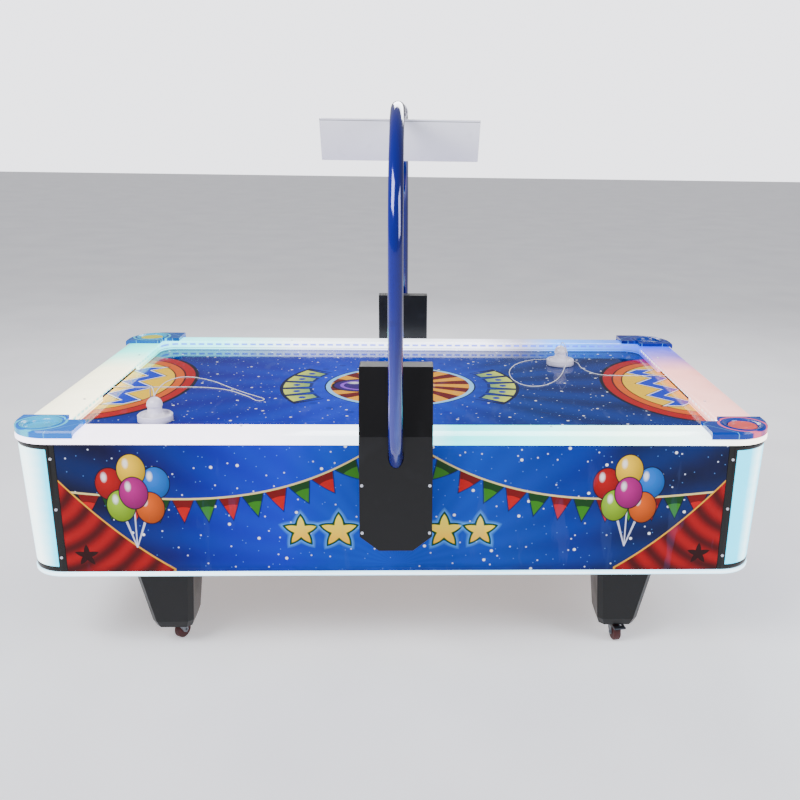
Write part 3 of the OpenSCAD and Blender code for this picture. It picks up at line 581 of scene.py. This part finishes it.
def cover_material(name, plate, ring, centre):
    """Glossy blue corner plate, with a painted highlight line round the cup."""
    p = Paint(name)
    du = p.x - centre[0]
    dv = p.y - centre[1]
    radius = p.distance(du, dv)
    cloud = p.noise(9.0, 4.0)
    coat = p.mix(cloud, plate, tuple(c * 0.62 for c in plate[:3]) + (1.0,))
    # Painted highlight: a lighter line round the cup, in the tint given for each corner.
    coat = p.mix((abs(radius - 0.0665) - 0.0035).inside(0.001), coat, ring)
    outer = (abs(abs(du) + abs(dv) - 0.115) - 0.0012).inside(0.0006)
    coat = p.mix(outer * 0.7, coat, srgb(150, 220, 255))
    scratch = (p.noise(70.0, 4.0, p.stretched(1.0, 0.2, 1.0)) - 0.62).clamped()
    coat = p.mix(scratch * 0.6, coat, srgb(170, 200, 230))
    p.bump(p.noise(180.0, 2.0), 0.05, 0.0004)
    return p.finish(Base_Color=coat, Roughness=0.12 + 0.5 * scratch, Specular_IOR_Level=0.3)


def cup_material():
    """Glossy cyan cups, with painted shade that darkens them at the right-hand corners."""
    p = Paint("corner_cup_plastic")
    # Painted shade: the same cyan plastic turns a darker blue at the right-hand corners.
    tone = p.mix(((p.x + 0.2) * 2.0).clamped(), srgb(24, 214, 248), srgb(36, 104, 190))
    tone = p.mix((p.noise(40.0, 4.0) - 0.5).clamped(), tone, srgb(20, 110, 190))
    return p.finish(Base_Color=tone, Roughness=0.14 + 0.2 * p.noise(60.0), Coat_Weight=0.6)


def arch_material():
    """Royal blue enamel with fine drawn streaks, and painted shade that darkens the right side of the tube.
    """
    p = Paint("arch_enamel")
    # Painted shade: the right half of the tube is darker, as if the light came from the left.
    tone = p.mix(((p.x + 0.020) * 25.0).clamped(), srgb(26, 66, 196), srgb(10, 34, 120))
    tone = p.mix(((1.30 - p.z) * 1.4).clamped() * 0.35, tone, srgb(12, 40, 140))
    streak = (p.noise(40.0, 4.0, p.stretched(1.0, 0.05, 0.05)) - 0.55).clamped()
    tone = p.mix(streak, tone, srgb(120, 170, 250))
    rub = (p.noise(24.0, 6.0) - 0.66).clamped() * 3.0
    tone = p.mix(rub.least(0.5), tone, srgb(20, 24, 60))
    p.bump(p.noise(120.0, 3.0), 0.05, 0.0004)
    return p.finish(
        Base_Color=tone,
        Roughness=0.12 + 0.3 * streak,
        Metallic=0.35,
        Coat_Weight=1.0,
        Coat_Roughness=0.05,
    )


def box_material():
    """Satin black powder coat on the mount boxes, with rubbed edges, and a painted reflection that makes
    their upper part paler.
    """
    p = Paint("mount_box_powder_coat")
    # Painted reflection: the boxes turn paler above 0.6 m, where their upper faces take in the pale light
    # from above.
    tone = p.mix(((p.z - 0.60) * 5.0).clamped(), srgb(24, 27, 34), srgb(46, 45, 49))
    rub = (p.noise(11.0, 6.0) - 0.55).clamped()
    tone = p.mix(rub, tone, srgb(96, 98, 106))
    p.bump(p.noise(700.0, 3.0), 0.22, 0.0004)
    return p.finish(Base_Color=tone, Roughness=0.38 + 0.3 * rub, Specular_IOR_Level=0.3)


def board_material():
    """Pale moulded case of the scoreboard, with thin dark edge lines, and painted light that makes it paler
    towards the top.
    """
    p = Paint("scoreboard_case")
    # Painted light: the case is darker at its bottom and paler towards its top, as if lit from above.
    tone = p.mix(((p.z - 1.33) * 5.0).clamped(), srgb(226, 223, 240), srgb(250, 249, 255))
    soft = p.noise(6.0, 3.0)
    tone = p.mix(soft * 0.25, tone, srgb(196, 193, 220))
    edge = (abs(p.z - 1.511) - 0.0011).inside(0.0006).most((abs(p.z - 1.323) - 0.0011).inside(0.0006))
    tone = p.mix(edge * 0.75, tone, srgb(84, 84, 104))
    smear = (p.noise(20.0, 6.0) - 0.6).clamped()
    tone = p.mix(smear * 0.7, tone, srgb(150, 150, 168))
    p.bump(p.noise(420.0, 3.0), 0.1, 0.0004)
    return p.finish(Base_Color=tone, Roughness=0.3 + 0.4 * smear, Coat_Weight=0.2)


def display_material():
    """Dark red windows at the scoreboard's ends, each with a lit digit on both halves."""
    p = Paint("score_display_window")
    base = p.mix(p.noise(30.0, 3.0), srgb(40, 6, 10), srgb(70, 10, 16))
    across = abs(p.y) - 0.030
    up = p.z - 1.417
    flat_bars = (abs(across) - 0.015).most(abs(abs(up) - 0.046) - 0.0032)
    tall_bars = (abs(abs(across) - 0.018) - 0.0032).most(abs(abs(up) - 0.023) - 0.020)
    digit = flat_bars.least(tall_bars)
    mask = digit.inside(0.0006)
    base = p.mix(mask, base, srgb(255, 60, 48))
    glow = p.mix(mask, srgb(8, 1, 2), srgb(255, 50, 36))
    return p.finish(
        Base_Color=base, Roughness=0.12 + 0.2 * p.noise(50.0), Emission_Color=glow, Emission_Strength=1.6
    )


def fibreboard_material():
    p = Paint("bare_fibreboard")
    fibre = p.noise(420.0, 6.0, p.stretched(0.3, 0.3, 1.0))
    tone = p.mix(fibre, srgb(150, 116, 80), srgb(196, 164, 122))
    tone = p.mix((p.noise(5.0, 4.0) - 0.5).clamped(), tone, srgb(112, 84, 58))
    p.bump(fibre, 0.4, 0.0006)
    return p.finish(Base_Color=tone, Roughness=0.72 + 0.16 * fibre)


def steel_material():
    p = Paint("zinc_plated_steel")
    brushed = p.noise(260.0, 4.0, p.stretched(1.0, 1.0, 0.1))
    tone = p.mix(brushed, srgb(128, 132, 138), srgb(196, 200, 206))
    stain = (p.noise(22.0, 5.0) - 0.6).clamped() * 2.0
    tone = p.mix(stain, tone, srgb(96, 92, 84))
    p.bump(brushed, 0.12, 0.0003)
    return p.finish(Base_Color=tone, Roughness=0.28 + 0.25 * brushed + 0.3 * stain, Metallic=0.9)


def wheel_material():
    """Dark red tyre, dusty on its tread."""
    p = Paint("caster_tyre")
    tread = (0.012 - p.z).over(0.0)
    tone = p.mix(p.noise(60.0, 5.0), srgb(92, 22, 30), srgb(128, 36, 40))
    tone = p.mix((p.noise(90.0, 5.0) - 0.45).clamped() + 0.2 * tread, tone, srgb(92, 86, 84))
    p.bump(p.noise(300.0, 4.0), 0.3, 0.0005)
    return p.finish(Base_Color=tone, Roughness=0.5 + 0.2 * p.noise(80.0))


def mallet_material():
    p = Paint("mallet_plastic")
    swirl = p.noise(18.0, 5.0)
    tone = p.mix(swirl * 0.4, srgb(246, 242, 252), srgb(214, 212, 226))
    # Darker bluish grey in noisy patches over the lowest 12 mm of the mallet, beside the playfield.
    rub = ((PLAY_Z + 0.012 - p.z) * 90.0).clamped() * p.noise(60.0, 4.0)
    tone = p.mix(rub, tone, srgb(120, 126, 156))
    p.bump(p.noise(240.0, 3.0), 0.1, 0.0004)
    return p.finish(Base_Color=tone, Roughness=0.26 + 0.2 * swirl, Coat_Weight=0.3)


def tether_material():
    """White braided cord."""
    p = Paint("braided_cord")
    braid = ((p.x + p.y) * 1600.0).sine() * ((p.x - p.y) * 1600.0).sine()
    tone = p.mix((braid * 0.5 + 0.5).clamped(), srgb(214, 214, 224), srgb(252, 252, 255))
    tone = p.mix((p.noise(30.0, 4.0) - 0.5).clamped(), tone, srgb(176, 178, 196))
    p.bump(braid, 0.5, 0.0006)
    return p.finish(Base_Color=tone, Roughness=0.55 + 0.2 * p.noise(60.0))


def puck_material(name, colour, dark):
    """Coloured hard plastic with slide marks."""
    p = Paint(name)
    marks = (p.noise(70.0, 6.0) - 0.58).clamped() * 2.0
    tone = p.mix(marks, p.mix(p.noise(20.0), colour, dark), srgb(240, 236, 230))
    p.bump(p.noise(500.0, 3.0), 0.15, 0.0004)
    return p.finish(Base_Color=tone, Roughness=0.3 + 0.3 * marks, Coat_Weight=0.2)


def rail_materials():
    front = [
        (-1.0, srgb(251, 244, 255)),
        (-0.4, srgb(250, 246, 255)),
        (0.02, srgb(226, 246, 255)),
        (0.16, srgb(60, 238, 240)),
        (0.38, srgb(150, 246, 246)),
        (0.62, srgb(214, 252, 242)),
        (0.82, srgb(238, 255, 255)),
        (1.0, srgb(255, 249, 238)),
    ]
    rear = [
        (-1.0, srgb(120, 236, 244)),
        (-0.7, srgb(165, 252, 252)),
        (-0.4, srgb(244, 252, 255)),
        (0.30, srgb(242, 244, 255)),
        (0.46, srgb(188, 187, 203)),
        (0.60, srgb(97, 182, 255)),
        (0.78, srgb(39, 150, 228)),
        (1.0, srgb(69, 81, 201)),
    ]
    left = [
        (-0.62, srgb(254, 250, 230)),
        (0.10, srgb(252, 250, 226)),
        (0.36, srgb(124, 244, 234)),
        (0.62, srgb(10, 194, 156)),
    ]
    right = [
        (-0.62, srgb(255, 214, 204)),
        (0.10, srgb(252, 194, 188)),
        (0.33, srgb(150, 122, 214)),
        (0.47, srgb(30, 90, 235)),
        (0.62, srgb(14, 185, 244)),
    ]
    blue = srgb(30, 110, 236)
    return {
        "front_rail": lit_rail_material("front_rail_acrylic", "x", front, srgb(60, 200, 240), 4.2),
        "rear_rail": lit_rail_material("rear_rail_acrylic", "x", rear, blue, 3.6),
        "left_rail": lit_rail_material("left_rail_acrylic", "y", left, srgb(90, 220, 220), 4.0),
        "right_rail": lit_rail_material("right_rail_acrylic", "y", right, WHITE, 2.6),
    }


def cover_materials():
    # Painted light: the four covers are copies of one blue acrylic, lit and shaded to a different plate
    # tone and highlight tint at each corner.
    return {
        "corner_cover_front_left": cover_material(
            "cover_front_left_acrylic", srgb(18, 166, 244), srgb(120, 232, 255), (-CUP_X, -CUP_Y)
        ),
        "corner_cover_front_right": cover_material(
            "cover_front_right_acrylic", srgb(48, 108, 196), srgb(250, 150, 180), (CUP_X, -CUP_Y)
        ),
        "corner_cover_rear_left": cover_material(
            "cover_rear_left_acrylic", srgb(24, 140, 214), srgb(120, 232, 244), (-CUP_X, CUP_Y)
        ),
        "corner_cover_rear_right": cover_material(
            "cover_rear_right_acrylic", srgb(26, 78, 180), srgb(70, 110, 200), (CUP_X, CUP_Y)
        ),
    }


def node_materials():
    """The finish of every CAD node but the tethers, by node name, or by its start and a last underscore."""
    fibreboard = fibreboard_material()
    steel = steel_material()
    box = box_material()
    wheel = wheel_material()
    mallet = mallet_material()
    leg = plain("leg_black_lacquer", srgb(25, 26, 30), 0.34, grain=0.2, coat=0.08)
    return {
        "base_board": fibreboard,
        "top_frame": fibreboard,
        "corner_posts": fibreboard,
        "front_panel": panel_material("front_panel_print", "x", True, False),
        "rear_panel": panel_material("rear_panel_print", "x", False, False),
        "left_end_panel": panel_material("left_end_print", "y", False, True),
        "right_end_panel": panel_material("right_end_print", "y", True, True),
        "corner_lights": corner_light_material(),
        "corner_frames": plain("corner_frame_black", srgb(15, 16, 20), 0.3, grain=0.15, coat=0.1),
        "bottom_rim": rim_material(),
        "led_strips": led_strip_material(),
        **rail_materials(),
        **cover_materials(),
        "corner_cups": cup_material(),
        "playfield": playfield_material(),
        "air_plenum": plain("plenum_board", srgb(168, 150, 118), 0.7, grain=0.3),
        "blower_housing": plain("blower_housing_moulding", srgb(52, 54, 60), 0.5, grain=0.3),
        "blower_motor": plain("blower_motor_casing", srgb(92, 94, 98), 0.4, metallic=0.6),
        "blower_impeller": plain("impeller_moulding", srgb(30, 30, 34), 0.45),
        "goal_chutes": plain("goal_chute_moulding", srgb(24, 26, 32), 0.4, coat=0.2),
        "control_box": plain("control_box_moulding", srgb(74, 78, 84), 0.5),
        "power_supply": plain("power_supply_casing", srgb(150, 152, 154), 0.38, metallic=0.8),
        "power_inlet": plain("power_inlet_moulding", srgb(20, 20, 24), 0.4),
        "power_switch": plain("power_rocker_red", srgb(170, 22, 26), 0.3, coat=0.3),
        "service_door": panel_material("service_door_print", "x", False, False),
        "door_hinge": steel,
        "leg_": leg,
        "caster_plates": steel,
        "caster_fork_": steel,
        "wheel_": wheel,
        "brake_": plain("brake_lever_zinc", srgb(110, 112, 118), 0.36, metallic=0.8),
        "arch_tube": arch_material(),
        "arch_sockets": plain("socket_cast_iron", srgb(34, 36, 40), 0.55, metallic=0.4, grain=0.4),
        "mount_box_": box,
        "scoreboard": board_material(),
        "score_displays": display_material(),
        "panel_screws": plain("screw_white_paint", srgb(222, 224, 232), 0.3, metallic=0.3),
        "mallet_": mallet,
        "puck_front": puck_material("puck_tomato", srgb(250, 96, 82), srgb(214, 58, 54)),
        "puck_rear": puck_material("puck_gold", srgb(236, 244, 96), srgb(214, 200, 50)),
    }


def dress(materials):
    """Gives each CAD node its finish."""
    for name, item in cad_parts.items():
        for start, material in materials.items():
            if name == start or (start.endswith("_") and name.startswith(start)):
                for slot in item.material_slots:
                    slot.material = material


def soften(names, width):
    """Small rounds on the sharp edges of CAD nodes, so that they catch the light."""
    for name in names:
        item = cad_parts[name]
        weld = item.modifiers.new("weld", "WELD")
        weld.merge_threshold = 0.00002
        bevel = item.modifiers.new("edge_round", "BEVEL")
        bevel.width = width
        bevel.segments = 2
        bevel.limit_method = "ANGLE"
        bevel.angle_limit = math.radians(40)
        bevel.harden_normals = True


# ---- tethers ----


LEFT_ROUTE = [
    (-0.704, -0.406, 0.729), (-0.706, -0.399, 0.738), (-0.713, -0.384, 0.746), (-0.725, -0.354, 0.745),
    (-0.739, -0.317, 0.726), (-0.752, -0.273, 0.693), (-0.764, -0.221, 0.667), (-0.775, -0.156, CORD_Z),
    (-0.784, -0.083, CORD_Z), (-0.786, -0.010, CORD_Z), (-0.778, 0.043, CORD_Z), (-0.758, 0.080, CORD_Z),
    (-0.734, 0.093, CORD_Z), (-0.704, 0.088, CORD_Z), (-0.665, 0.065, CORD_Z), (-0.620, 0.028, CORD_Z),
    (-0.559, -0.042, CORD_Z), (-0.502, -0.103, CORD_Z), (-0.448, -0.154, CORD_Z), (-0.433, -0.169, CORD_Z),
    (-0.425, -0.185, CORD_Z), (-0.433, -0.200, CORD_Z), (-0.450, -0.194, CORD_Z), (-0.472, -0.162, CORD_Z),
    (-0.512, -0.118, CORD_Z), (-0.551, -0.081, CORD_Z), (-0.601, -0.054, CORD_Z), (-0.660, -0.041, CORD_Z),
    (-0.729, -0.039, CORD_Z), (-0.808, -0.041, CORD_Z), (-0.867, -0.042, CORD_Z), (-0.911, -0.042, CORD_Z),
    (-0.946, -0.042, 0.656), (-0.970, -0.042, 0.652), (-1.0007, -0.042, 0.652),
]
RIGHT_ROUTE = [
    (0.584, 0.305, 0.729), (0.585, 0.298, 0.738), (0.589, 0.283, 0.742), (0.595, 0.262, 0.732),
    (0.598, 0.240, 0.711), (0.593, 0.220, 0.684), (0.580, 0.188, 0.665), (0.562, 0.138, CORD_Z),
    (0.533, 0.065, CORD_Z), (0.494, 0.010, CORD_Z), (0.456, -0.012, CORD_Z), (0.420, 0.000, CORD_Z),
    (0.395, 0.045, CORD_Z), (0.383, 0.104, CORD_Z), (0.383, 0.168, CORD_Z), (0.393, 0.227, CORD_Z),
    (0.417, 0.291, CORD_Z), (0.454, 0.342, CORD_Z), (0.498, 0.370, CORD_Z), (0.553, 0.380, CORD_Z),
    (0.607, 0.374, CORD_Z), (0.643, 0.348, CORD_Z), (0.653, 0.311, CORD_Z), (0.653, 0.267, CORD_Z),
    (0.663, 0.212, CORD_Z), (0.686, 0.166, CORD_Z), (0.720, 0.143, CORD_Z), (0.779, 0.139, CORD_Z),
    (0.838, 0.139, CORD_Z), (0.912, 0.139, CORD_Z), (0.947, 0.139, 0.656), (0.972, 0.139, 0.652),
    (1.0007, 0.139, 0.652),
]


def smooth_path(points, steps=6):
    """Points along a smooth curve through the given ones."""
    knots = [Vector(point) for point in points]
    path = []
    for i in range(len(knots) - 1):
        before = knots[max(i - 1, 0)]
        here = knots[i]
        there = knots[i + 1]
        after = knots[min(i + 2, len(knots) - 1)]
        for step in range(steps):
            t = step / steps
            path.append(0.5 * (
                2 * here
                + (there - before) * t
                + (2 * before - 5 * here + 4 * there - after) * t * t
                + (3 * here - before - 3 * there + after) * t ** 3
            ))
    path.append(knots[-1])
    return path


def tube_along(name, path, width, sides=10):
    """A round tube that follows a path, with closed ends."""
    mesh = bmesh.new()
    rings = []
    side = Vector((1, 0, 0))
    for i, point in enumerate(path):
        ahead = (path[min(i + 1, len(path) - 1)] - path[max(i - 1, 0)]).normalized()
        side = (side - ahead * side.dot(ahead)).normalized()
        other = ahead.cross(side)
        ring = []
        for k in range(sides):
            turn = math.tau * k / sides
            out = side * math.cos(turn) + other * math.sin(turn)
            ring.append(mesh.verts.new(point + out * width / 2))
        rings.append(ring)
    for low, high in zip(rings, rings[1:]):
        for k in range(sides):
            mesh.faces.new((low[k], low[(k + 1) % sides], high[(k + 1) % sides], high[k]))
    mesh.faces.new(list(reversed(rings[0])))
    mesh.faces.new(rings[-1])
    bmesh.ops.recalc_face_normals(mesh, faces=mesh.faces)
    data = bpy.data.meshes.new(name)
    mesh.to_mesh(data)
    mesh.free()
    for face in data.polygons:
        face.use_smooth = True
    item = bpy.data.objects.new(name, data)
    bpy.context.scene.collection.objects.link(item)
    return item


def tether(name, route, material):
    """The cord from a mallet to the wall of its goal."""
    path = smooth_path(route)
    item = tube_along(name + "_braid", path, TETHER_WIDTH)
    item.data.materials.append(material)
    length = sum((b - a).length for a, b in zip(path, path[1:]))
    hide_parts(name)
    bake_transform(item)


# ---- camera, light and floor ----


def camera():
    yaw = 0.042697
    pitch = 0.24636
    roll = 0.015232
    ahead = Vector((math.sin(yaw) * math.cos(pitch), math.cos(yaw) * math.cos(pitch), -math.sin(pitch)))
    flat_right = Vector((math.cos(yaw), -math.sin(yaw), 0))
    flat_up = flat_right.cross(ahead)
    right = flat_right * math.cos(roll) + flat_up * math.sin(roll)
    up = flat_up * math.cos(roll) - flat_right * math.sin(roll)
    data = bpy.data.cameras.new("camera")
    data.lens = 42.37
    data.sensor_width = 36
    data.shift_x = -0.0671
    data.shift_y = -0.0375
    item = bpy.data.objects.new("camera", data)
    turn = Matrix((right, up, -ahead)).transposed().to_4x4()
    item.matrix_world = Matrix.Translation((0.0477, -3.0553, 1.478)) @ turn
    bpy.context.scene.collection.objects.link(item)
    bpy.context.scene.camera = item


def area_light(name, place, target, size, power, colour=(1, 1, 1)):
    data = bpy.data.lights.new(name, "AREA")
    data.shape = "RECTANGLE"
    data.size, data.size_y = size
    data.energy = power
    data.color = colour
    item = bpy.data.objects.new(name, data)
    item.location = place
    item.rotation_euler = (Vector(target) - Vector(place)).to_track_quat("-Z", "Y").to_euler()
    bpy.context.scene.collection.objects.link(item)


def studio():
    """Soft light from above and a pale floor."""
    area_light("key_light", (-2.4, -2.6, 3.6), (0, 0, 0.5), (2.6, 2.0), 240)
    area_light("fill_light", (3.2, -2.2, 2.4), (0, 0, 0.5), (2.0, 2.0), 130, (0.94, 0.96, 1.0))
    area_light("back_light", (0.6, 3.2, 3.2), (0, 0, 0.8), (3.0, 1.6), 150)
    world = bpy.data.worlds.new("studio_world")
    world.use_nodes = True
    background = world.node_tree.nodes["Background"]
    background.inputs["Color"].default_value = srgb(250, 250, 254)
    tree = world.node_tree
    seen = tree.nodes.new("ShaderNodeLightPath")
    strength = tree.nodes.new("ShaderNodeMapRange")
    strength.inputs["To Min"].default_value = SURROUND_LIGHT
    strength.inputs["To Max"].default_value = BACKDROP_LIGHT
    tree.links.new(seen.outputs["Is Camera Ray"], strength.inputs["Value"])
    tree.links.new(strength.outputs["Result"], background.inputs["Strength"])
    bpy.context.scene.world = world
    p = Paint("pale_floor")
    tone = p.mix(p.noise(2.0, 4.0), srgb(236, 236, 240), srgb(250, 250, 252))
    material = p.finish(
        Base_Color=tone,
        Roughness=0.7 + 0.2 * p.noise(8.0),
        Specular_IOR_Level=0.1,
        Emission_Color=tone,
        Emission_Strength=0.5,
    )
    mesh = bmesh.new()
    bmesh.ops.create_grid(mesh, x_segments=1, y_segments=1, size=30)
    data = bpy.data.meshes.new("floor")
    mesh.to_mesh(data)
    mesh.free()
    data.materials.append(material)
    item = bpy.data.objects.new("floor", data)
    item.location.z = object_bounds()[0][2]
    bpy.context.scene.collection.objects.link(item)


camera()
cord_white = tether_material()
tether("tether_left", LEFT_ROUTE, cord_white)
tether("tether_right", RIGHT_ROUTE, cord_white)
dress(node_materials())
soften(["mount_box_front", "mount_box_rear", "scoreboard", "corner_frames"], 0.0022)
soften(["front_rail", "rear_rail", "left_rail", "right_rail", "bottom_rim"], 0.0012)
soften(["leg_front_left", "leg_front_right", "leg_rear_left", "leg_rear_right"], 0.0015)
studio()
